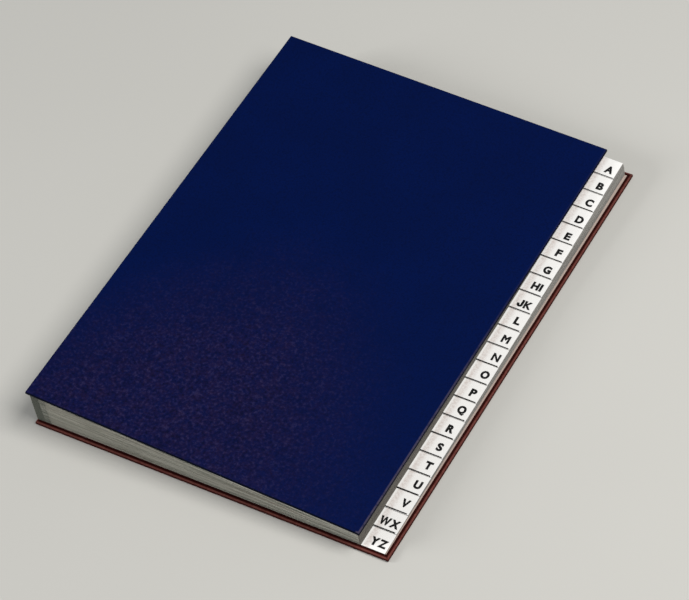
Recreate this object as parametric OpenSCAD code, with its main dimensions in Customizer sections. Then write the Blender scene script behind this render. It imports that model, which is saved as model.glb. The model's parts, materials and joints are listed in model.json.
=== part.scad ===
// Alphabetical desk sorter: two stiff covers, step-cut index dividers and a folded cloth spine.
// It lies on its back cover: +X runs from the spine to the fore edge, +Y towards the A end.

/* [Covers] */
// Length of both covers along the spine
cover_l = 340; // [240:1:420]
// Width of the front cover from spine to fore edge
front_w = 243; // [180:1:320]
// Thickness of the board in each cover
board_t = 2; // [1:0.1:4]
// Radius on the edges of each board
board_edge_r = 0.5; // [0.2:0.05:1]
// Thickness of the covering material
covering_t = 0.3; // [0.15:0.05:0.6]
// How far the covering is turned in over the inner face
turn_in = 15; // [8:0.5:30]
// Thickness of the lining pasted inside each cover
lining_t = 0.2; // [0.1:0.05:0.5]
// Bare turn-in left round the lining
lining_margin = 3; // [2:0.5:7]
// How far the back cover reaches past the tabs
back_margin = 4; // [1:0.5:10]

/* [Dividers] */
// Thickness of the divider card
sheet_t = 0.4; // [0.2:0.05:0.8]
// Width of the index tabs
tab_w = 16.5; // [8:0.5:30]
// How far the covers reach past the dividers at each end
end_margin = 2.75; // [0:0.25:10]
// How far the front cover reaches past the cut edges of the dividers
cut_inset = 3; // [0:0.1:5]
// Gap between neighbouring leaves at the cut edges
fore_gap = 0.14; // [0.11:0.01:0.5]
// How much further the front cover stands off there
cover_lift = 2.2; // [0:0.1:8]

/* [Cloth spine] */
// Thickness of the cloth
cloth_t = 0.28; // [0.15:0.01:0.5]
// Free space inside each fold
fold_open = 0.26; // [0.15:0.01:1]
// Width of the cloth on each side of a fold
flap_w = 10; // [8:0.5:30]
// How far the folds stand out from the dividers
fold_reach = 6; // [1:0.5:6]
// How far the covers reach past the folds
spine_inset = 0.2; // [0:0.1:6]
// Paste line between bonded pieces
paste_gap = 0.02; // [0.01:0.005:0.05]

/* [Hidden] */
$fn = 48;
// The index, from the front cover to the back cover
INDEX = ["a", "b", "c", "d", "e", "f", "g", "hi", "jk", "l", "m",
         "n", "o", "p", "q", "r", "s", "t", "u", "v", "wx", "yz"];
count = len(INDEX);

// Layers of a cover, from its inner face outwards
board_depth = lining_t + covering_t + 2 * paste_gap;
cover_t = board_depth + board_t + paste_gap + covering_t;
board_inset = covering_t + paste_gap;
edge_r = min(board_edge_r, board_t / 2.2);

// Spaces between the leaves, which make the stack a wedge
spine_gap = 2 * (cloth_t + paste_gap) + fold_open;
spine_pitch = spine_gap + sheet_t;
crease_inset = spine_inset + cloth_t + fold_open / 2;
cut_reach = front_w - cut_inset - crease_inset;
back_w = front_w - cut_inset + tab_w + back_margin;
crease_x = crease_inset - back_w / 2;
sheet_l = cover_l - 2 * end_margin;
tab_pitch = sheet_l / count;

// Level m is 0 at the back cover, 1 to count on the dividers and count + 1 at the front cover
function leaf_z(m) = cover_t + m * spine_gap + (m - 0.5) * sheet_t;
function leaf_drop(m) = m * (spine_gap - fore_gap) - (m > count ? cover_lift : 0);
function leaf_tilt(m) = atan(leaf_drop(m) / cut_reach);
function level_name(m) = m == 0 ? "back" : m > count ? "front" : INDEX[count - m];

// The fold at level m joins leaf m to the leaf above it
function fold_z(m) = (leaf_z(m) + leaf_z(m + 1)) / 2;
function fold_r(m) = spine_pitch / 2 * cos(leaf_tilt(m + 1)) - sheet_t / 2 - paste_gap;

function divider_name(m) = str("divider_", level_name(m));
function gusset_name(m) = str("gusset_", level_name(m), "_", level_name(m + 1));

navy = "#0b1a46";
maroon = "#5b2320";
greyboard = "#8e877b";
lining_cream = "#e8e0d6";
card_white = "#eceae4";
cloth_grey = "#63655b";

// A rectangle with round corners, from the origin
module rounded_outline(w, h, r) {
    translate([r, 0]) square([w - 2 * r, h]);
    translate([0, r]) square([w, h - 2 * r]);
    for (x = [r, w - r], y = [r, h - r]) translate([x, y]) circle(r);
}

// A plate with round edges, from x = 0 and z = 0, centred on y = 0
module soft_plate(w, l, t, r) {
    intersection() {
        translate([0, l / 2, 0]) rotate([90, 0, 0]) linear_extrude(l) rounded_outline(w, t, r);
        translate([0, -l / 2, 0]) rotate([90, 0, 90]) linear_extrude(w) rounded_outline(l, t, r);
    }
}

// A square-edged plate set back from the cover's edges, with its top at z = top
module inset_plate(w, inset, t, top) {
    translate([inset, inset - cover_l / 2, top - t]) cube([w - 2 * inset, cover_l - 2 * inset, t]);
}

// The pieces of a cover of width w lie with the inner face up at z = 0 and the spine edge at x = 0
module board(w) {
    translate([board_inset, 0, -board_depth - board_t])
        soft_plate(w - 2 * board_inset, cover_l - 2 * board_inset, board_t, edge_r);
}

// The covering wraps the outer face and the edges and is turned in over the inner face
module covering(w) {
    shell_t = board_t + 2 * board_inset;
    pocket_t = board_t + 2 * paste_gap;
    difference() {
        translate([0, 0, -cover_t])
            soft_plate(w, cover_l, shell_t, edge_r + board_inset);
        translate([covering_t, 0, covering_t - cover_t])
            soft_plate(w - 2 * covering_t, cover_l - 2 * covering_t, pocket_t, edge_r + paste_gap);
        inset_plate(w, turn_in, board_depth, 0);
    }
}

// The lining laps over the turn-in, and its infill levels the space between the turn-ins
module lining(w) {
    inset_plate(w, lining_margin, lining_t, 0);
    inset_plate(w, turn_in + paste_gap, board_depth - paste_gap, 0);
}

module at_back_cover() {
    translate([-back_w / 2, 0, cover_t]) children();
}

// Places a leaf with its middle plane on z = 0 and its crease line on x = 0
module at_leaf(m) {
    translate([crease_x, 0, leaf_z(m)]) rotate([0, leaf_tilt(m), 0]) children();
}

module at_front_cover() {
    at_leaf(count + 1) translate([-crease_inset, 0, -sheet_t / 2]) mirror([0, 0, 1]) children();
}

module back_cover_covering() { color(maroon) at_back_cover() covering(back_w); }
module back_cover_board() { color(greyboard) at_back_cover() board(back_w); }
module back_cover_lining() { color(lining_cream) at_back_cover() lining(back_w); }
module front_cover_covering() { color(navy) at_front_cover() covering(front_w); }
module front_cover_board() { color(greyboard) at_front_cover() board(front_w); }
module front_cover_lining() { color(lining_cream) at_front_cover() lining(front_w); }

// Each divider keeps its fore-edge strip from the A end down to the end of its own tab
module divider(m) {
    strip_l = tab_pitch * (count + 1 - m);
    color(card_white) at_leaf(m) translate([fold_reach, 0, -sheet_t / 2]) linear_extrude(sheet_t) {
        translate([0, -sheet_l / 2]) square([cut_reach - fold_reach, sheet_l]);
        translate([0, sheet_l / 2 - strip_l]) square([cut_reach + tab_w - fold_reach, strip_l]);
    }
}

function turned(x, y, a) = [x * cos(a) - y * sin(a), x * sin(a) + y * cos(a)];

// The space inside a round of radius r about the crease and straight along both leaves, with the wedge between them
module fold_outline(m, r, reach) {
    low = -leaf_tilt(m);
    high = -leaf_tilt(m + 1);
    circle(r);
    rotate(low) translate([0, -r]) square([reach, r]);
    rotate(high) square([reach, r]);
    polygon([turned(-r / 2, 0, (low + high) / 2), turned(reach - r, -r / 2, low), turned(reach - r, r / 2, high)]);
}

// One strip of cloth: a flap on each of two facing leaves and a round fold about their hinge line
module gusset(m) {
    r = fold_r(m);
    color(cloth_grey)
    translate([crease_x, sheet_l / 2, fold_z(m)]) rotate([90, 0, 0]) linear_extrude(sheet_l)
        difference() {
            fold_outline(m, r, flap_w);
            fold_outline(m, r - cloth_t, flap_w + fold_reach);
        }
}

back_cover_covering();
back_cover_board();
back_cover_lining();
front_cover_covering();
front_cover_board();
front_cover_lining();
for (m = [1 : count]) divider(m);
for (m = [0 : count]) gusset(m);
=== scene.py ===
"""Looks of an alphabetical desk sorter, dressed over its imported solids.

Lengths are in millimetres until a mesh is written. +X runs from the spine to the fore edge and
+Y towards the A end. Level 0 is the back cover, 1 to 22 are the dividers from YZ up to A, and
level 23 is the front cover.
"""

import json
import math

import bmesh
import bpy
import numpy as np
from mathutils import Matrix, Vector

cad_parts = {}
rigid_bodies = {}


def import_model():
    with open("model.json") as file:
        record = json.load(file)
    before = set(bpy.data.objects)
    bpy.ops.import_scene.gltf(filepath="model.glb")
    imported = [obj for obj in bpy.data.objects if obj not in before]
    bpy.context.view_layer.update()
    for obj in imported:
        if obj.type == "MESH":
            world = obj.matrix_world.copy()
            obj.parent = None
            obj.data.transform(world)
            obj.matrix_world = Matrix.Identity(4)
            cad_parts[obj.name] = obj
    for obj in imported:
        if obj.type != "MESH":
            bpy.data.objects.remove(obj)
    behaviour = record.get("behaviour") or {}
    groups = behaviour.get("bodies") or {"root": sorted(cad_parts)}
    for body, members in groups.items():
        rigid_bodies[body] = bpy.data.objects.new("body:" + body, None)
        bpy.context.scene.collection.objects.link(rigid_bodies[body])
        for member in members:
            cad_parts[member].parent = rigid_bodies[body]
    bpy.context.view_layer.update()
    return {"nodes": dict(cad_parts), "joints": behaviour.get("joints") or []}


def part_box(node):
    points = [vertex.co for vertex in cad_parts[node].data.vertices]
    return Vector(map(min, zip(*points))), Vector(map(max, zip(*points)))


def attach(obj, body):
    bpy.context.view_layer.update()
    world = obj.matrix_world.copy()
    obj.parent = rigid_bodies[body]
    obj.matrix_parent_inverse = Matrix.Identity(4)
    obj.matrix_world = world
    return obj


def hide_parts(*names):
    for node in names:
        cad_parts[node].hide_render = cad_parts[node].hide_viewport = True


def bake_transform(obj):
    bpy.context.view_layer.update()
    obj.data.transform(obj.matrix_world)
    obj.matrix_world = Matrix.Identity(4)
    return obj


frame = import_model()

MM = 0.001
TINY = 1e-5

# Sizes of the covers
COVER_L = 340.0
FRONT_W = 243.0
BOARD_T = 2.0
BOARD_EDGE_R = 0.5
CORNER_R = 0.35
COVERING_T = 0.3
TURN_IN = 15.0
LINING_T = 0.2
BACK_MARGIN = 4.0

# Sizes of the dividers
SHEET_T = 0.4
TAB_W = 16.5
END_MARGIN = 2.75
CUT_INSET = 3.0

# Gap between the leaves at the cut edges, and how much further the front cover stands off there
FORE_GAP = 0.14
COVER_LIFT = 2.2

# How far a cut edge may lie off its place, and how far the tabs' outer edge runs out of square
STAGGER = 0.12
TRIM_SPREAD = 0.65

# Sizes of the cloth spine
CLOTH_T = 0.28
THREAD_PITCH = 0.42
FOLD_OPEN = 0.26
FLAP_W = 10.0
FOLD_REACH = 6.0
SPINE_INSET = 0.2
PASTE_GAP = 0.02

# Where the flaps leave the round of a fold, and half the band in which a fold bends
FLAP_START = 0.6

# Heights of the waves along each fold, and their lengths divided by 2 pi
WAVES = [(0.10, 41.0), (0.06, 17.0), (0.03, 7.0)]

# Sizes that follow from these
COVER_T = LINING_T + 2 * COVERING_T + 3 * PASTE_GAP + BOARD_T
COVERING_TOP = -(LINING_T + PASTE_GAP)
EDGE_R = BOARD_EDGE_R + COVERING_T + PASTE_GAP
SPINE_GAP = 2 * (CLOTH_T + PASTE_GAP) + FOLD_OPEN
SPINE_PITCH = SPINE_GAP + SHEET_T
CREASE_INSET = SPINE_INSET + CLOTH_T + FOLD_OPEN / 2
CUT_REACH = FRONT_W - CUT_INSET - CREASE_INSET
TAB_REACH = CUT_REACH + TAB_W
BACK_W = FRONT_W - CUT_INSET + TAB_W + BACK_MARGIN
SHEET_L = COVER_L - 2 * END_MARGIN
CLOTH_MIDDLE = FLAP_W + (CLOTH_T + FOLD_OPEN / 2) * math.pi / 2

# How far apart the patterns of neighbouring levels are read
LEVEL_STEP = 6.0

# Numbers of points along the surfaces
CORNER_STEPS = 9
SIDE_STEPS = [16, 22, 16, 22]
EDGE_STEPS = 7
CARD_STEPS = 13
RULE_STEPS = 15
CURVE_STEPS = 6
BOWL_STEPS = 13
FLAP_STEPS = 8
FOLD_STEPS = 33
SPINE_STEPS = 57

# Print on the tabs: the type in shares of its size, the rest in millimetres
CAP_SHARE = 0.682
BOLDER = 0.06
MITRE_LIMIT = 1.6
EVEN_WIDTH = 0.47
EVEN_SHARE = 0.35
LETTER_SPACE = 0.06
SHORT_EDGE = 0.012
CAP_HEIGHT = 6.3
INK_T = 0.02
INK_BASE = 0.004
RULE_W_NEAR = 0.92
RULE_W_FAR = 0.68
RULE_L = 15.4

# Where the type was set on each tab, A first: from the crease, and below the middle of the tab
LETTER_X = [249.5, 250.2, 249.7, 250.1, 249.2, 249.9, 249.3, 249.2, 248.3, 250.2, 249.9,
            250.7, 250.5, 250.1, 249.6, 249.8, 250.1, 250.2, 250.9, 250.3, 248.0, 249.0]
LETTER_DROP = [1.4, 1.3, 1.4, 1.6, 1.8, 1.2, 1.4, 0.9, 1.8, 0.2, 0.9,
               1.0, 0.7, 0.9, 0.1, 0.8, 0.3, 0.3, 0.4, 0.3, 1.4, 1.8]

# The chain of hinges gives the levels' names and the heights of the folds
JOINTS = frame["joints"]
BODIES = [JOINTS[0]["parent"]] + [joint["child"] for joint in JOINTS]
COUNT = len(BODIES) - 2
CREASE_X = JOINTS[0]["pos_m"][0] / MM
FOLD_Z = np.array([joint["pos_m"][2] for joint in JOINTS]) / MM
TAB_PITCH = SHEET_L / COUNT
SHORT_NAMES = ["back"] + [body.split("_")[-1] for body in BODIES[1:-1]] + ["front"]
draw = np.random.default_rng(22)


def leaf_tilt(level):
    """Slope of a leaf towards the fore edge, in radians: the wedge narrows evenly from fold to cut edge, and
    the front cover stands off a little more."""
    drop = level * (SPINE_GAP - FORE_GAP) - (COVER_LIFT if level > COUNT else 0.0)
    return math.atan(drop / CUT_REACH)


def leaf_z(level):
    """Height of a leaf's middle plane at its crease: half a pitch above the fold under it."""
    return FOLD_Z[level - 1] + SPINE_PITCH / 2


def turned(points, tilt):
    """Turns points about the Y axis by the tilt, so that +X goes down."""
    x, y, z = np.moveaxis(np.asarray(points, float), -1, 0)
    c, s = math.cos(tilt), math.sin(tilt)
    return np.stack([x * c + z * s, y, z * c - x * s], axis=-1)


def at_leaf(points, level):
    """Places points of a leaf, given from its crease and middle plane, by its tilt and its crease's place."""
    return turned(points, leaf_tilt(level)) + [CREASE_X, 0, leaf_z(level)]


def at_back_cover(points):
    """Places points of a cover, given from its spine edge and inner face, as the back cover."""
    return np.asarray(points) + [-BACK_W / 2, 0, COVER_T]


def at_front_cover(points):
    """Turns a cover over, as z to -z, and places it on the highest leaf level."""
    flipped = np.asarray(points) * [1, 1, -1] + [-CREASE_INSET, 0, -SHEET_T / 2]
    return at_leaf(flipped, COUNT + 1)


# Shader tools

class Wire:
    """A shader socket. Sums, products and quotients of wires and numbers add Math nodes."""

    def __init__(self, finish, socket):
        self.finish, self.socket = finish, socket

    def math(self, operation, *operands):
        """A Math node on the operands, in their order."""
        return self.finish.node("Math", {"operation": operation}, dict(enumerate(operands)))

    def __add__(self, other):
        return self.math("ADD", self, other)

    def __radd__(self, other):
        return self.math("ADD", other, self)

    def __sub__(self, other):
        return self.math("SUBTRACT", self, other)

    def __rsub__(self, other):
        return self.math("SUBTRACT", other, self)

    def __mul__(self, other):
        return self.math("MULTIPLY", self, other)

    def __rmul__(self, other):
        return self.math("MULTIPLY", other, self)

    def __truediv__(self, other):
        return self.math("DIVIDE", self, other)

    def __rtruediv__(self, other):
        return self.math("DIVIDE", other, self)

    def __abs__(self):
        return self.math("ABSOLUTE", self)

    def sine(self):
        return self.math("SINE", self)

    def least(self, other):
        return self.math("MINIMUM", self, other)

    def step(self, low, high, below=0.0, above=1.0):
        """A smooth change from one value to another as the wire passes from low to high."""
        return self.finish.node(
            "MapRange", {"interpolation_type": "SMOOTHSTEP"},
            {"Value": self, "From Min": low, "From Max": high, "To Min": below, "To Max": above})


class Finish:
    """A material with one Principled shader. node() adds any other node and returns its output."""

    def __init__(self, name, **constants):
        self.material = bpy.data.materials.new(name)
        self.material.use_nodes = True
        self.tree = self.material.node_tree
        self.shader = self.tree.nodes["Principled BSDF"]
        for socket, value in constants.items():
            self.feed(socket.replace("_", " "), value)

    def feed(self, socket, value):
        """Sets or links a socket of the shader."""
        self.put(self.shader.inputs[socket], value)

    def put(self, socket, value):
        """Links a wire to a socket, or sets the socket to a value."""
        if isinstance(value, Wire):
            self.tree.links.new(value.socket, socket)
        else:
            socket.default_value = value

    def node(self, kind, settings=None, inputs=None, output=0):
        made = self.tree.nodes.new("ShaderNode" + kind)
        for name, value in (settings or {}).items():
            setattr(made, name, value)
        for key, value in (inputs or {}).items():
            self.put(made.inputs[key], value)
        return Wire(self, made.outputs[output])

    def place(self):
        """The point's own place in metres, which stays with the piece when it moves."""
        return self.node("TexCoord", output="Object")

    def kept(self, name):
        """A place stored on the mesh, for patterns that follow a leaf or a cloth."""
        return self.node("Attribute", {"attribute_name": name}, output="Vector")

    def parts(self, vector):
        """The x, y and z wires of a vector."""
        split = self.node("SeparateXYZ", inputs={0: vector}).socket.node
        return [Wire(self, socket) for socket in split.outputs]

    def stretched(self, vector, scale):
        """A place scaled along each axis: a pattern grows longer where the scale is small."""
        return self.node("Mapping", inputs={"Vector": vector, "Scale": scale})

    def noise(self, vector, size_mm, detail=2.0, roughness=0.5):
        """Noise whose blotches are about size_mm across."""
        return self.node("TexNoise", inputs={
            "Vector": vector, "Scale": 1.0 / (size_mm * MM), "Detail": detail, "Roughness": roughness})

    def pebbles(self, vector, size_mm):
        """Distance from the middle of rounded cells about size_mm across."""
        return self.node("TexVoronoi", {"feature": "SMOOTH_F1"}, {
            "Vector": vector, "Scale": 1.0 / (size_mm * MM)}, "Distance")

    def mixed(self, share, first, second):
        """A colour that goes from first to second with the share."""
        return self.node("Mix", {"data_type": "RGBA"}, {0: share, 6: first, 7: second}, 2)

    def raised(self, height, depth_mm, strength=1.0, under=None):
        """Bump from a height, over the bump under it."""
        inputs = {"Height": height, "Distance": depth_mm * MM, "Strength": strength}
        if under is not None:
            inputs["Normal"] = under
        return self.node("Bump", inputs=inputs)


def tone(red, green, blue):
    """A linear colour from display values of 0 to 255."""
    shares = np.array([red, green, blue]) / 255
    linear = np.where(shares < 0.04045, shares / 12.92, ((shares + 0.055) / 1.055) ** 2.4)
    return (*linear.tolist(), 1.0)


# Finishes

# Grey of handling, also used as painted shade on cut edges, ledges and tab rims
HANDLED_AND_SHADE_GREY = tone(74, 69, 66)


def grained_covering(name, deep, high, dust_and_sheen, pale, worn, shade_and_stain, regions):
    """Embossed covering: pebbled grain, darker in its valleys. The regions say where a rusty haze with pale
    and dark flecks lies, which on the navy is a painted sheen with painted glints and on the maroon is dust,
    how far the arrises are rubbed pale, and how dark the margin beside the lining and the sides of the cover
    are painted as shade. The wear follows 0.75 inset + 2.2 depth below the face, so it lies on the face side
    of an arris."""
    finish = Finish(name, Specular_IOR_Level=0.035)
    place = finish.place()
    inset, height, from_corner = finish.parts(finish.kept("cover_place"))
    wander = finish.node(
        "TexNoise", inputs={"Vector": place, "Scale": 0.9 / MM, "Detail": 1.0}, output="Color")
    shift = finish.node("VectorMath", {"operation": "SCALE"}, {0: wander, "Scale": 0.9 * MM})
    shifted = finish.node("VectorMath", {"operation": "ADD"}, {0: place, 1: shift})
    valley = finish.pebbles(shifted, 1.1).step(0.25, 0.75)
    fine = finish.noise(place, 0.45, detail=3.0)
    fleck = finish.noise(place, 2.1, detail=3.0, roughness=0.6)
    cloud = finish.noise(place, 5.5, detail=3.0, roughness=0.6)
    broad = finish.noise(place, 38.0, detail=3.0, roughness=0.55)
    dust_and_sheen_share, worn_share, margin_shade_share, side_shade_share = regions(finish, place, broad)
    # On the navy this haze and its pale flecks are a painted sheen and painted glints; on the maroon they are
    # dust
    dust_and_sheen_mix = dust_and_sheen_share * cloud.step(0.32, 0.72, 0.3, 0.75) * (0.7 + valley * 0.25)
    pale_fleck_and_glint = dust_and_sheen_share * fleck.step(0.5, 0.74) * 0.34
    dark_fleck = dust_and_sheen_share * fleck.step(0.52, 0.3) * 0.6
    depth = (height + COVER_T * MM).least(COVERING_TOP * MM - height)
    arris = (inset * 0.75 + depth * 2.2).step(1.1 * MM, 0.7 * MM)
    worn_patch = finish.noise(place, 2.6, detail=3.0, roughness=0.6).step(0.32, 0.56, 0.5, 1.0)
    rubbed = arris * worn_share * worn_patch
    inner_face = inset.step(0.5 * MM, 0.9 * MM) * height.step(-0.9 * MM, -0.5 * MM)
    mitre = from_corner.step(0.4 * MM, 0.1 * MM) * inner_face
    # The turn-in margin beside the lining is darkened as painted shade
    margin_shade = inset.step(0.9 * MM, 1.6 * MM) * inner_face * margin_shade_share
    # The sides of the cover are darkened as painted shade
    side = inset.step(0.5 * MM, 0.15 * MM) * side_shade_share
    colour = finish.mixed(valley * 0.55, high, deep)
    colour = finish.mixed(broad.step(0.3, 0.7) * 0.25, colour, deep)
    colour = finish.mixed(dust_and_sheen_mix, colour, dust_and_sheen)
    colour = finish.mixed(pale_fleck_and_glint, colour, pale)
    colour = finish.mixed(dark_fleck, colour, shade_and_stain)
    colour = finish.mixed((margin_shade + side + mitre * 0.7).least(1.0), colour, shade_and_stain)
    finish.feed("Base Color", finish.mixed(rubbed, colour, worn))
    finish.feed("Roughness", 0.52 + valley * 0.14 + dust_and_sheen_mix * 0.12 + rubbed * 0.2 + (broad - 0.5) * 0.08)
    coarse = finish.raised(1.0 - valley - mitre * 3.0, 0.10, 0.6)
    finish.feed("Normal", finish.raised(fine, 0.04, 0.5, coarse))
    return finish.material


def navy_regions(finish, place, broad):
    """A painted sheen, a rusty haze with pale glints, lies below a ragged arch across the cover, y < -85 ((x
    + 10) / 115)^2 in millimetres, and more by the spine than by the fore edge. The fore edge is rubbed
    towards the YZ end, and the sides are darkened as painted shade."""
    x, y, _ = finish.parts(place)
    across = (x + 10 * MM) / (115 * MM)
    below = y + across * across * (85 * MM) + (broad - 0.5) * (60 * MM)
    dust_and_sheen = below.step(35 * MM, -110 * MM, 0.0, 0.88) * x.step(115 * MM, -10 * MM, 0.15, 1.0)
    worn = x.step(109 * MM, 110.8 * MM) * y.step(60 * MM, -100 * MM, 0.04, 0.36)
    shade_and_stain, side = 0.0, 0.92
    return dust_and_sheen, worn, shade_and_stain, side


def maroon_regions(finish, place, broad):
    """A little dust all over, rubbed arrises, painted shade darkening the margin beside the lining, and sides
    darkened as painted shade.
    """
    dust_and_sheen = broad.step(0.3, 0.75, 0.35, 0.9)
    worn, shade_and_stain, side = 0.35, 0.9, 0.6
    return dust_and_sheen, worn, shade_and_stain, side


def divider_card_faces():
    """Uncoated grey card with fine fibres, toned a little along its edges, and beyond the cut edge a smooth
    white strip for the index. The strip's outer rim and the rim of the grey card are toned grey, partly from
    handling and partly as painted shade, and the strip beside the cut edge is darkened in mottled patches as
    painted shade from the front cover."""
    finish = Finish("divider_card_faces", Specular_IOR_Level=0.25)
    place = finish.kept("leaf_place")
    x, y, _ = finish.parts(place)
    cut, tab_end = CUT_REACH * MM, TAB_REACH * MM
    fibre = finish.noise(finish.stretched(place, (1.0, 0.25, 1.0)), 0.5, detail=4.0, roughness=0.65)
    cloud = finish.noise(place, 14.0, detail=3.0)
    mottle = finish.noise(place, 1.5, detail=3.0, roughness=0.6).step(0.35, 0.65)
    to_edge = (SHEET_L / 2 * MM - abs(y)).least(cut - x) + (cloud - 0.5) * (12 * MM)
    card = finish.mixed(fibre.step(0.35, 0.7), tone(178, 178, 168), tone(196, 196, 187))
    card = finish.mixed(cloud.step(0.35, 0.7) * 0.4, card, tone(172, 171, 160))
    card = finish.mixed(to_edge.step(11 * MM, 0.0) * 0.45, card, tone(174, 168, 150))
    strip = finish.mixed(fibre.step(0.4, 0.75) * 0.6, tone(249, 248, 246), tone(241, 239, 235))
    # Painted soft shade from the front cover on the strip beside the cut edge, broken into mottled patches
    shade_beside_cut = x.step(cut + 0.8 * MM, cut + 2.2 * MM) * x.step(cut + 7.0 * MM, cut + 3.5 * MM)
    strip = finish.mixed(shade_beside_cut * (0.35 + mottle * 0.65), strip, tone(220, 211, 206))
    white = x.step(cut + 0.15 * MM, cut + 0.3 * MM)
    # Rims of the cut ledge and of the tab's outer edge toned grey: handling and painted shade
    card_rim = x.step(cut - 0.5 * MM, cut - 0.2 * MM) - white
    strip_rim = x.step(tab_end - 0.3 * MM, tab_end - 0.1 * MM)
    face = finish.mixed(white, card, strip)
    finish.feed("Base Color", finish.mixed((card_rim + strip_rim) * 0.7, face, HANDLED_AND_SHADE_GREY))
    finish.feed("Roughness", 0.85 - white * 0.25 + (fibre - 0.5) * 0.1)
    finish.feed("Normal", finish.raised(fibre, 0.02, 0.35))
    return finish.material


def divider_card_edges():
    """Cut edges of the card: layered fibres, a little darker than the faces. Each sheet has its own shade and
    a green or brown cast, which drift along it. The cut edges at the tabs are grey, partly from handling and
    partly as painted shade. At the ends of the stack the lower sheets are cooler and the lowest ones dark,
    which is painted shade from the back cover."""
    finish = Finish("divider_card_edges", Specular_IOR_Level=0.15)
    place, on_leaf = finish.place(), finish.kept("leaf_place")
    x, _, level = finish.parts(on_leaf)
    cut = CUT_REACH * MM
    drift = finish.stretched(on_leaf, (0.12, 0.12, 1.0))
    fibre = finish.noise(finish.stretched(place, (0.05, 0.05, 1.0)), 0.12, detail=3.0)
    sheet, cast = finish.noise(drift, 7.0, detail=2.0), finish.noise(drift, 9.0, detail=1.0)
    shade = (fibre * 0.25 + sheet * 0.75).step(0.40, 0.60)
    hue = finish.mixed(cast.step(0.35, 0.65), tone(118, 125, 115), tone(132, 123, 114))
    colour = finish.mixed(shade, hue, tone(200, 198, 188))
    at_end = x.step(cut, cut - 2 * MM)
    # Lower sheets cooler and darker; the lowest ones darkened as painted shade from the back cover
    colour = finish.mixed(level.step(90 * MM, 20 * MM) * at_end * 0.3, colour, tone(96, 106, 100))
    colour = finish.mixed(level.step(32 * MM, 2 * MM) * at_end * 0.9, colour, tone(48, 48, 44))
    # Cut edges and tab edges greyed: partly handling, partly painted shade
    handled_and_shade = (x.step(cut - 0.8 * MM, cut - 0.3 * MM, 0.0, 0.88)
               + x.step(cut + 8 * MM, cut + 9 * MM, 0.0, -0.3))
    finish.feed("Base Color", finish.mixed(handled_and_shade, colour, HANDLED_AND_SHADE_GREY))
    finish.feed("Roughness", 0.85 + (fibre - 0.5) * 0.15)
    finish.feed("Normal", finish.raised(fibre, 0.03, 0.3))
    return finish.material


def index_ink():
    """Black print, a little thin in places."""
    finish = Finish("index_ink", Specular_IOR_Level=0.3)
    thin = finish.noise(finish.place(), 0.35, detail=3.0)
    finish.feed("Base Color", finish.mixed(thin.step(0.55, 0.85) * 0.5, tone(10, 10, 11), tone(50, 47, 47)))
    finish.feed("Roughness", 0.5 + thin * 0.2)
    return finish.material


def spine_cloth():
    """Plain-woven grey cloth: warp and weft threads as crossed waves, sin(k u) sin(k v), with slubs, rubbed
    paler in patches along the crest of the fold."""
    finish = Finish("spine_cloth", Specular_IOR_Level=0.2, Sheen_Weight=0.15)
    place = finish.kept("cloth_place")
    along, across, _ = finish.parts(place)
    thread = 2 * math.pi / (THREAD_PITCH * MM)
    warp, weft = (along * thread).sine(), (across * thread).sine()
    over = (warp * weft).step(-0.8, 0.8)
    slub = finish.noise(finish.stretched(place, (1.0, 0.12, 1.0)), 0.6, detail=3.0)
    colour = finish.mixed(over * 0.6 + slub * 0.4, tone(74, 77, 68), tone(122, 125, 113))
    from_crest = abs(along - CLOTH_MIDDLE * MM)
    patch = finish.noise(finish.stretched(place, (1.0, 0.3, 1.0)), 4.0, detail=3.0).step(0.35, 0.65)
    crest = from_crest.step(0.55 * MM, 0.1 * MM) * (0.2 + patch * 0.5)
    finish.feed("Base Color", finish.mixed(crest, colour, tone(146, 148, 137)))
    finish.feed("Roughness", 0.8 + (slub - 0.5) * 0.2)
    finish.feed("Normal", finish.raised(over + slub * 0.6, 0.08, 0.7))
    return finish.material


def lining_paper(cover):
    """Cream lining paper with fibres and faint clouding, toned along its edges."""
    finish = Finish(f"{cover}_lining_paper", Specular_IOR_Level=0.25)
    place = finish.place()
    x, y, _ = finish.parts(place)
    low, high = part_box(f"{cover}_lining")
    to_edge = (x - low[0]).least(high[0] - x).least((y - low[1]).least(high[1] - y))
    fibre = finish.noise(finish.stretched(place, (1.0, 0.3, 1.0)), 0.6, detail=4.0, roughness=0.65)
    cloud = finish.noise(place, 22.0, detail=3.0)
    paper = finish.mixed(fibre.step(0.35, 0.7), tone(209, 191, 182), tone(221, 206, 198))
    paper = finish.mixed(cloud.step(0.3, 0.7) * 0.35, paper, tone(201, 182, 173))
    toned = to_edge.step(6 * MM, 0.5 * MM) * 0.45
    finish.feed("Base Color", finish.mixed(toned, paper, tone(140, 120, 108)))
    finish.feed("Roughness", 0.82 + (fibre - 0.5) * 0.12)
    finish.feed("Normal", finish.raised(fibre, 0.02, 0.4))
    return finish.material


def greyboard():
    """Pulp board with coarse flecks."""
    finish = Finish("greyboard", Specular_IOR_Level=0.2)
    fleck = finish.noise(finish.place(), 0.8, detail=4.0, roughness=0.7)
    finish.feed("Base Color", finish.mixed(fleck.step(0.3, 0.7), tone(126, 119, 108), tone(158, 151, 140)))
    finish.feed("Roughness", 0.9 - fleck * 0.1)
    finish.feed("Normal", finish.raised(fleck, 0.05, 0.4))
    return finish.material


def pale_floor():
    """Plain pale studio paper."""
    finish = Finish("pale_floor", Specular_IOR_Level=0.1)
    cloud = finish.noise(finish.place(), 300.0, detail=2.0)
    finish.feed("Base Color", finish.mixed(cloud, tone(199, 198, 193), tone(194, 193, 188)))
    finish.feed("Roughness", 0.9 + cloud * 0.05)
    return finish.material


# Mesh tools

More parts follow.
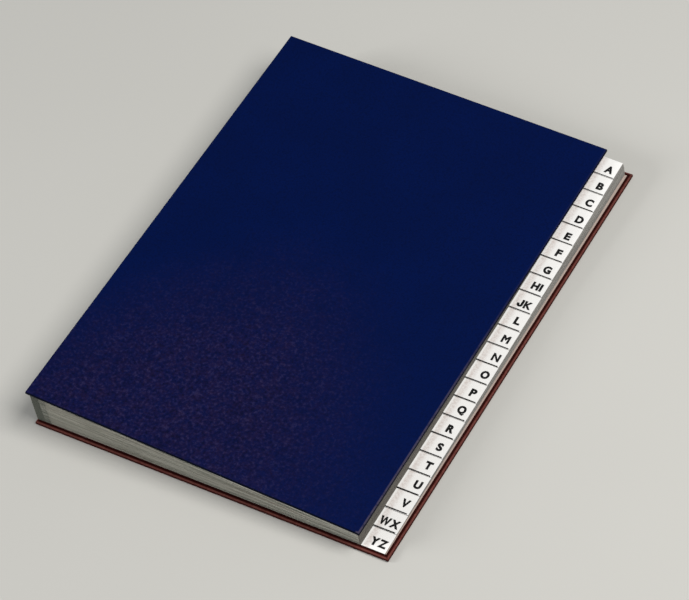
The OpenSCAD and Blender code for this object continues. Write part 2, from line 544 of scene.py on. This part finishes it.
def new_mesh(name, points, faces, materials, face_finish=None, smooth_deg=None):
    """A mesh object at the origin from points in millimetres. Faces shade smooth below the given angle."""
    mesh = bpy.data.meshes.new(name)
    mesh.from_pydata((np.asarray(points) * MM).tolist(), [], faces)
    for material in materials:
        mesh.materials.append(material)
    if face_finish is not None:
        mesh.polygons.foreach_set("material_index", np.asarray(face_finish, np.int32))
    if smooth_deg is not None:
        mesh.shade_smooth()
        mesh.set_sharp_from_angle(angle=math.radians(smooth_deg))
    mesh.validate()
    mesh.update()
    piece = bpy.data.objects.new(name, mesh)
    bpy.context.scene.collection.objects.link(piece)
    return piece


def keep_place(piece, name, places):
    """Stores a place in metres for each point of the mesh."""
    stored = piece.data.attributes.new(name, "FLOAT_VECTOR", "POINT")
    stored.data.foreach_set("vector", (np.asarray(places, np.float32) * MM).ravel())


def grid_quads(rows, columns):
    """Four-sided faces between the neighbours of a grid of points, counted row by row."""
    index = np.arange(rows * columns).reshape(rows, columns)
    return np.stack([index[:-1, :-1], index[:-1, 1:], index[1:, 1:], index[1:, :-1]], -1).reshape(-1, 4)


def thick_sheet(front, back):
    """Closes two matching grids into one thin solid: both grids' faces and a strip round their rim."""
    rows, columns = front.shape[:2]
    index = np.arange(rows * columns).reshape(rows, columns)
    quads = grid_quads(rows, columns)
    rim = np.concatenate([index[0, :-1], index[:-1, -1], index[-1, :0:-1], index[:0:-1, 0]])
    after = np.roll(rim, -1)
    shift = rows * columns
    walls = np.stack([after, rim, rim + shift, after + shift], -1)
    points = np.concatenate([front.reshape(-1, 3), back.reshape(-1, 3)])
    return points, np.concatenate([quads, quads[:, ::-1] + shift, walls])


# Covers

def wrapped_outline(width, inset):
    """Points round a cover's outline set in by a distance: four corner arcs, whose radius shrinks with the
    inset, joined by straight runs. The inset may be an array, one ring for each value. Each point also gets
    its distance from the nearest corner, which on a run of length d is d min(t, 1 - t)."""
    inset = np.asarray(inset, float)[:, None]
    reach = np.maximum(inset, CORNER_R)
    radius = np.maximum(CORNER_R - inset, 0.0)
    turn = np.radians(np.linspace(0, 90, CORNER_STEPS))
    half = np.array([width / 2, COVER_L / 2])
    quarters = []
    for sign_x, sign_y, start in [(1, 1, 0), (-1, 1, 90), (-1, -1, 180), (1, -1, 270)]:
        angle = np.radians(start) + turn
        quarters.append(np.stack([sign_x * (half[0] - reach) + radius * np.cos(angle),
                                  sign_y * (half[1] - reach) + radius * np.sin(angle)], -1))
    rounds, corner_gaps = [], []
    for quarter, following, runs in zip(quarters, quarters[1:] + quarters[:1], SIDE_STEPS):
        share = np.linspace(0, 1, runs + 2)[1:-1, None]
        first, last = quarter[:, -1:, :], following[:, :1, :]
        rounds += [quarter, first + (last - first) * share]
        gap = np.linalg.norm(last - first, axis=-1) * np.minimum(share, 1 - share).T
        corner_gaps += [np.zeros(quarter.shape[:2]), gap]
    return np.concatenate(rounds, axis=1) + [width / 2, 0], np.concatenate(corner_gaps, axis=1)


def covering_profile():
    """How the covering runs, as inset and height from the inner face: along the outer face to the edge, round
    it in two quarter turns, in over the inner face to its cut edge, and back along the inner side."""
    quarter = np.radians(np.linspace(0, 90, EDGE_STEPS))
    outer, low = COVERING_TOP, -COVER_T
    inner_r = EDGE_R - COVERING_T
    face = np.array([60.0, 30.0, 12.0, 5.0, 2.0])
    tuck = np.array([2.0, 4.0, 8.0, 11.0, TURN_IN])

    def round_edge(radius, base, top):
        side = EDGE_R - radius
        below = np.stack([side + radius * (1 - np.sin(quarter)), base + radius * (1 - np.cos(quarter))], -1)
        above = np.stack([side + radius * (1 - np.cos(quarter)), top - radius * (1 - np.sin(quarter))], -1)
        return np.concatenate([below, above])

    def flat(insets, height):
        return np.stack([insets, np.full(len(insets), height)], -1)

    outside = np.concatenate([flat(face, low), round_edge(EDGE_R, low, outer), flat(tuck, outer)])
    inside = np.concatenate([flat(face, low + COVERING_T),
                             round_edge(inner_r, low + COVERING_T, outer - COVERING_T),
                             flat(tuck, outer - COVERING_T)])
    return np.concatenate([outside, inside[::-1]])


def cover_skin(name, width, place, material):
    """The covering of a cover: its profile carried round the outline, with the two flat middles closed."""
    profile = covering_profile()
    rings, corner_gaps = wrapped_outline(width, profile[:, 0])
    count, around = rings.shape[:2]
    heights = np.repeat(profile[:, 1:], around, axis=1)[..., None]
    points = np.concatenate([rings, heights], -1)
    index = np.arange(count * around).reshape(count, around)
    after = np.roll(index, -1, axis=1)
    quads = np.stack([index[:-1], after[:-1], after[1:], index[1:]], -1).reshape(-1, 4)
    faces = quads.tolist() + [index[0, ::-1].tolist(), index[-1].tolist()]
    skin = new_mesh(name, place(points.reshape(-1, 3)), faces, [material], smooth_deg=35)
    stored = np.column_stack([np.repeat(profile, around, axis=0), corner_gaps.ravel()])
    keep_place(skin, "cover_place", stored)
    return skin


# Dividers

def divider_card(level, materials):
    """One divider: an L-shaped plate of grid cells. Cells beyond the cut edge are kept only from the A end
    down to the end of its own tab, and each open cell side gets a wall. Cut edges are staggered a little, and
    the outer edge is trimmed out of square, further out by k s^3, where s runs from -1 at the A end to 1."""
    cut_shift, outer_shift, *end_shifts, tab_shift = draw.uniform(-STAGGER, STAGGER, 5)
    xs = np.append(np.linspace(FOLD_REACH, CUT_REACH + cut_shift, CARD_STEPS), TAB_REACH + outer_shift)
    ys = np.linspace(-SHEET_L / 2, SHEET_L / 2, COUNT + 1)
    ys[[0, -1]] += end_shifts
    if level > 1:
        ys[level - 1] += tab_shift
    columns, rows = len(xs), len(ys)
    keep = np.ones((rows - 1, columns - 1), bool)
    keep[:level - 1, -1] = False
    x, y = np.meshgrid(xs, ys)
    top = np.stack([x, y, np.full_like(x, SHEET_T / 2)], -1).reshape(-1, 3)
    under = top * [1, 1, -1]
    cells = grid_quads(rows, columns).reshape(rows - 1, columns - 1, 4)
    kept = cells[keep]
    to_under = rows * columns
    padded = np.pad(keep, 1)
    walls = []
    for ends, neighbour in [((0, 1), padded[:-2, 1:-1]), ((1, 2), padded[1:-1, 2:]),
                            ((2, 3), padded[2:, 1:-1]), ((3, 0), padded[1:-1, :-2])]:
        edge = cells[keep & ~neighbour][:, list(ends)]
        walls.append(np.concatenate([edge[:, ::-1], edge + to_under], axis=1))
    walls = np.concatenate(walls)
    faces = np.concatenate([kept, kept[:, ::-1] + to_under, walls])
    used, packed = np.unique(faces, return_inverse=True)
    local = np.concatenate([top, under])[used]
    finish = np.concatenate([np.zeros(2 * len(kept), int), np.ones(len(walls), int)])
    spread = TRIM_SPREAD * (-2 * local[:, 1] / SHEET_L) ** 3
    trimmed = local.copy()
    trimmed[:, 0] += np.where(local[:, 0] > CUT_REACH + TAB_W / 2, spread, 0)
    piece = new_mesh(f"divider_card_{SHORT_NAMES[level]}", at_leaf(trimmed, level),
                     packed.reshape(-1, 4).tolist(), materials, finish)
    keep_place(piece, "leaf_place", local * [1, 1, 0] + [0, 0, LEVEL_STEP * level])
    return piece


def letter_outlines(letter):
    """Outlines of one plain capital in shares of the type size, anticlockwise, holes clockwise. Each cubic
    piece is sampled as (1-s)^3 p0 + 3 (1-s)^2 s p1 + 3 (1-s) s^2 p2 + s^3 p3, a straight one by its start."""
    if letter == "J":
        return [hook_outline()]
    type_curve = bpy.data.curves.new("type", "FONT")
    type_curve.body = letter
    holder = bpy.data.objects.new("type", type_curve)
    bpy.context.scene.collection.objects.link(holder)
    graph = bpy.context.evaluated_depsgraph_get()
    drawn = holder.evaluated_get(graph)
    outlines = []
    share = (np.arange(CURVE_STEPS) / CURVE_STEPS)[None, :, None]
    for spline in drawn.to_curve(graph).splines:
        knots, before, after = [np.zeros(3 * len(spline.bezier_points)) for _ in range(3)]
        spline.bezier_points.foreach_get("co", knots)
        spline.bezier_points.foreach_get("handle_left", before)
        spline.bezier_points.foreach_get("handle_right", after)
        p0, p2, p1 = [flat.reshape(-1, 3)[:, None, :2] for flat in (knots, before, after)]
        p2, p3 = np.roll(p2, -1, axis=0), np.roll(p0, -1, axis=0)
        points = ((1 - share) ** 3 * p0 + 3 * (1 - share) ** 2 * share * p1
                  + 3 * (1 - share) * share ** 2 * p2 + share ** 3 * p3)
        chord = (p3 - p0)[:, 0]
        lean = [(q - p0)[:, 0] for q in (p1, p2)]
        bend = sum(np.abs(chord[:, 0] * v[:, 1] - chord[:, 1] * v[:, 0]) for v in lean)
        curved = bend > TINY
        keep = curved[:, None] | (np.arange(CURVE_STEPS) == 0)
        outline = points[keep]
        outlines.append(outline[np.linalg.norm(np.roll(outline, -1, axis=0) - outline, axis=1) > SHORT_EDGE])
    drawn.to_curve_clear()
    bpy.data.objects.remove(holder)
    bpy.data.curves.remove(type_curve)
    return outlines


def hook_outline(cap=CAP_SHARE, stem=0.098, outer=0.2, tip=0.26):
    """A capital J that stands on the line: a stem, and half a ring from its foot round to a short tip."""
    turn = np.radians(np.linspace(0, 180, BOWL_STEPS))
    inner = outer - stem
    bowl_in = np.stack([inner * np.cos(turn), outer - inner * np.sin(turn)], -1)
    bowl_out = np.stack([-outer * np.cos(turn), outer - outer * np.sin(turn)], -1)
    return np.concatenate([[[inner, cap]], bowl_in, [[-inner, tip], [-outer, tip]], bowl_out, [[outer, cap]]])


def emboldened(outline):
    """Moves each point outwards by the same amount from both edges that meet there: along
    (n1 + n2) / (1 + n1.n2), where n1 and n2 are the edges' normals, with a limit at sharp points."""
    edge = np.roll(outline, -1, axis=0) - outline
    edge = edge / np.linalg.norm(edge, axis=1, keepdims=True)
    normal = np.stack([edge[:, 1], -edge[:, 0]], -1)
    former = np.roll(normal, 1, axis=0)
    move = (normal + former) / (1 + np.sum(normal * former, axis=1, keepdims=True))
    move = move * np.minimum(1, MITRE_LIMIT / np.linalg.norm(move, axis=1, keepdims=True))
    return outline + BOLDER * move


def block_letters(words):
    """Bold capitals as a thin flat solid, in millimetres, centred on x, with the middle of the capitals at
    y = 0. Widths are evened out, w to w^(1-k) e^k, and each letter is set after the one before it."""
    cursor, outlines = 0.0, []
    for letter in words:
        shapes = letter_outlines(letter)
        across = np.concatenate(shapes)[:, 0]
        width = np.ptp(across)
        stretch = (EVEN_WIDTH / width) ** EVEN_SHARE if letter != "I" else 1.0
        outlines += [emboldened((shape - [across.min(), 0]) * [stretch, 1] + [cursor, 0]) for shape in shapes]
        cursor += width * stretch + LETTER_SPACE + 2 * BOLDER
    letters = bpy.data.curves.new("letters", "CURVE")
    letters.dimensions = "2D"
    letters.fill_mode = "BOTH"
    letters.extrude = INK_T
    for outline in outlines:
        spline = letters.splines.new("POLY")
        spline.points.add(len(outline) - 1)
        spline.points.foreach_set("co", np.pad(outline, ((0, 0), (0, 2))).ravel())
        spline.use_cyclic_u = True
    holder = bpy.data.objects.new("letters", letters)
    bpy.context.scene.collection.objects.link(holder)
    mesh = bpy.data.meshes.new_from_object(holder.evaluated_get(bpy.context.evaluated_depsgraph_get()))
    solid = bmesh.new()
    solid.from_mesh(mesh)
    bmesh.ops.remove_doubles(solid, verts=solid.verts[:], dist=TINY)
    bmesh.ops.recalc_face_normals(solid, faces=solid.faces[:])
    solid.to_mesh(mesh)
    solid.free()
    points = np.zeros(3 * len(mesh.vertices))
    mesh.vertices.foreach_get("co", points)
    faces = [list(polygon.vertices) for polygon in mesh.polygons]
    bpy.data.objects.remove(holder)
    bpy.data.curves.remove(letters)
    bpy.data.meshes.remove(mesh)
    points = points.reshape(-1, 3)
    scale = CAP_HEIGHT / (CAP_SHARE + 2 * BOLDER)
    middle = (points[:, 0].min() + points[:, 0].max()) / 2
    sized = (points - [middle, CAP_SHARE / 2, 0]) * scale
    sized[:, 2] = np.where(points[:, 2] > 0, INK_T, INK_BASE)
    return sized, faces


def index_print(level, material):
    """The print on one tab: its letters, and a rule along the end of the tab as a thin closed strip."""
    letters, faces = block_letters(SHORT_NAMES[level].upper())
    tab_low = SHEET_L / 2 - TAB_PITCH * (COUNT + 1 - level)
    middle = tab_low + TAB_PITCH / 2 - LETTER_DROP[COUNT - level]
    points = letters + [LETTER_X[COUNT - level], middle, SHEET_T / 2]
    if level > 1:
        along = CUT_REACH + STAGGER + np.linspace(0, RULE_L, RULE_STEPS)
        rule_w = RULE_W_NEAR + (RULE_W_FAR - RULE_W_NEAR) * level / COUNT
        across = tab_low + STAGGER + np.array([0.0, rule_w])
        x, y = np.meshgrid(along, across)
        top = np.stack([x, y, np.full_like(x, SHEET_T / 2 + INK_T)], -1)
        rule, quads = thick_sheet(top, top - [0, 0, INK_T - INK_BASE])
        faces = faces + (quads + len(points)).tolist()
        points = np.concatenate([points, rule])
    return new_mesh(f"index_print_{SHORT_NAMES[level]}", at_leaf(points, level), faces, [material])


# Cloth spine

def gusset_cloth(level, material):
    """One folded strip of cloth: flaps along the leaf below and the leaf above, and a round about their hinge
    line, whose points crowd towards its crest at 0.3 t + 0.7 t^3 of a quarter turn, t from -1 to 1. Both
    sides of the cloth are this profile at the outer and inner radius, carried along the spine, and the fold
    stands out by a sum of slow waves, a fraction of a millimetre high."""
    below, above = leaf_tilt(level), leaf_tilt(level + 1)
    radius = SPINE_PITCH / 2 * math.cos(above) - SHEET_T / 2 - PASTE_GAP
    spread = np.linspace(-1, 1, FOLD_STEPS)
    angle = np.pi - (0.3 * spread + 0.7 * spread ** 3) * np.pi / 2
    run = np.linspace(FLAP_W, FLAP_START, FLAP_STEPS)

    def side(r):
        lower = turned(np.stack([run, 0 * run, np.full_like(run, -r)], -1), below)
        bow = np.stack([r * np.cos(angle), 0 * angle, r * np.sin(angle)], -1)
        upper = turned(np.stack([run[::-1], 0 * run, np.full_like(run, r)], -1), above)
        return np.concatenate([lower, bow, upper])

    along = np.linspace(-SHEET_L / 2, SHEET_L / 2, SPINE_STEPS)
    phases = draw.uniform(0, 2 * np.pi, len(WAVES))
    wave = sum(high * np.sin(along / long + phase) for (high, long), phase in zip(WAVES, phases))

    def grid(r):
        profile = side(r)
        points = np.repeat(profile[:, None, :], len(along), axis=1)
        bulge = np.clip(-profile[:, 0] / r, 0, 1)
        points[..., 0] += bulge[:, None] * wave
        points[..., 1] = along
        return points

    outer, inner = grid(radius), grid(radius - CLOTH_T)
    points, quads = thick_sheet(outer, inner)
    hinge = np.array([CREASE_X, 0, FOLD_Z[level]])
    piece = new_mesh(f"gusset_cloth_{SHORT_NAMES[level]}_{SHORT_NAMES[level + 1]}", points + hinge,
                     quads.tolist(), [material], smooth_deg=50)
    step = np.linalg.norm(np.diff(side(radius), axis=0), axis=1)
    length = np.concatenate([[0], np.cumsum(step)])
    u, v = np.meshgrid(length, along, indexing="ij")
    place = np.stack([u, v, np.full_like(u, LEVEL_STEP * level)], -1)
    keep_place(piece, "cloth_place", np.concatenate([place, place]).reshape(-1, 3))
    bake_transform(piece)
    return piece


# The object

# The navy's haze colour is a painted sheen, and its darkest tone also paints shade on the cover's sides
navy = grained_covering(
    "navy_covering", deep=tone(1, 12, 50), high=tone(2, 18, 67), dust_and_sheen=tone(36, 22, 48),
    pale=tone(66, 60, 98), worn=tone(104, 95, 106), shade_and_stain=tone(0, 6, 24), regions=navy_regions)
maroon = grained_covering(
    "maroon_covering", deep=tone(44, 10, 9), high=tone(88, 29, 25), dust_and_sheen=tone(100, 46, 38),
    pale=tone(158, 108, 96), worn=tone(140, 92, 84), shade_and_stain=tone(38, 8, 6), regions=maroon_regions)
card_materials = [divider_card_faces(), divider_card_edges()]
ink = index_ink()
cloth = spine_cloth()

for name, width, place, material in [("back_cover", BACK_W, at_back_cover, maroon),
                                     ("front_cover", FRONT_W, at_front_cover, navy)]:
    skin = cover_skin(f"{name}_skin", width, place, material)
    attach(skin, name)
    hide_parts(f"{name}_covering")

for level in range(1, COUNT + 1):
    card = divider_card(level, card_materials)
    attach(card, BODIES[level])
    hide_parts(BODIES[level])
    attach(index_print(level, ink), BODIES[level])

for level in range(COUNT + 1):
    strip = gusset_cloth(level, cloth)
    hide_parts(f"gusset_{SHORT_NAMES[level]}_{SHORT_NAMES[level + 1]}")

board_finish = greyboard()
for cover in ("back_cover", "front_cover"):
    for piece_name, material in [("board", board_finish), ("lining", lining_paper(cover))]:
        node = frame["nodes"][f"{cover}_{piece_name}"]
        node.data.materials.clear()
        node.data.materials.append(material)

# Floor, light and camera

FLOOR_HALF = 4000.0
FLOOR_DROP = 0.1
SKY_COLOUR = (0.93, 0.96, 1.0, 1.0)
SKY_STRENGTH = 0.22
LAMP_TARGET = (0, 0, 20)

corners = np.array([[-1, -1, 0], [1, -1, 0], [1, 1, 0], [-1, 1, 0]])
floor_points = corners * FLOOR_HALF - [0, 0, FLOOR_DROP]
floor = new_mesh("floor", floor_points, [[0, 1, 2, 3]], [pale_floor()])

world = bpy.data.worlds.new("studio")
bpy.context.scene.world = world
world.use_nodes = True
sky = world.node_tree.nodes["Background"].inputs
sky["Color"].default_value = SKY_COLOUR
sky["Strength"].default_value = SKY_STRENGTH


def aimed(place, target):
    """A turn that points -Z from a place to a target with +Y upwards."""
    back = np.array(place, float) - np.array(target, float)
    back /= np.linalg.norm(back)
    right = np.cross([0, 0, 1], back)
    right /= np.linalg.norm(right)
    return np.stack([right, np.cross(back, right), back], -1)


def placed(turn, place):
    """A matrix from a turn and a place in millimetres."""
    matrix = np.eye(4)
    matrix[:3, :3] = turn
    matrix[:3, 3] = np.array(place) * MM
    return Matrix(matrix.tolist())


def soft_lamp(name, place, size, power, colour):
    """A square soft box aimed at the middle of the sorter."""
    data = bpy.data.lights.new(name, "AREA")
    data.size = size * MM
    data.energy = power
    data.color = colour
    lamp = bpy.data.objects.new(name, data)
    lamp.matrix_world = placed(aimed(place, LAMP_TARGET), place)
    bpy.context.scene.collection.objects.link(lamp)


soft_lamp("key_lamp", place=(1140, 90, 1745), size=1200, power=39.5, colour=(1.0, 0.985, 0.96))
soft_lamp("side_lamp", place=(-2200, -1400, 1200), size=1000, power=38, colour=(1.0, 1.0, 1.0))

IMAGE_W = 689
FOCAL_PX = 2934.94
SENSOR_MM = 36.0
CAMERA_PLACE = (773.56, -975.39, 1461.83)
CAMERA_RIGHT = np.array([0.863680, 0.486982, -0.130022])
CAMERA_DOWN = np.array([0.304942, -0.710231, -0.634493])
camera_data = bpy.data.cameras.new("camera")
camera_data.sensor_fit = "HORIZONTAL"
camera_data.sensor_width = SENSOR_MM
camera_data.lens = FOCAL_PX * SENSOR_MM / IMAGE_W
camera = bpy.data.objects.new("camera", camera_data)
camera_turn = np.stack([CAMERA_RIGHT, -CAMERA_DOWN, np.cross(CAMERA_RIGHT, -CAMERA_DOWN)], -1)
camera.matrix_world = placed(camera_turn, CAMERA_PLACE)
bpy.context.scene.collection.objects.link(camera)
bpy.context.scene.camera = camera
bpy.context.scene.view_settings.view_transform = "Standard"
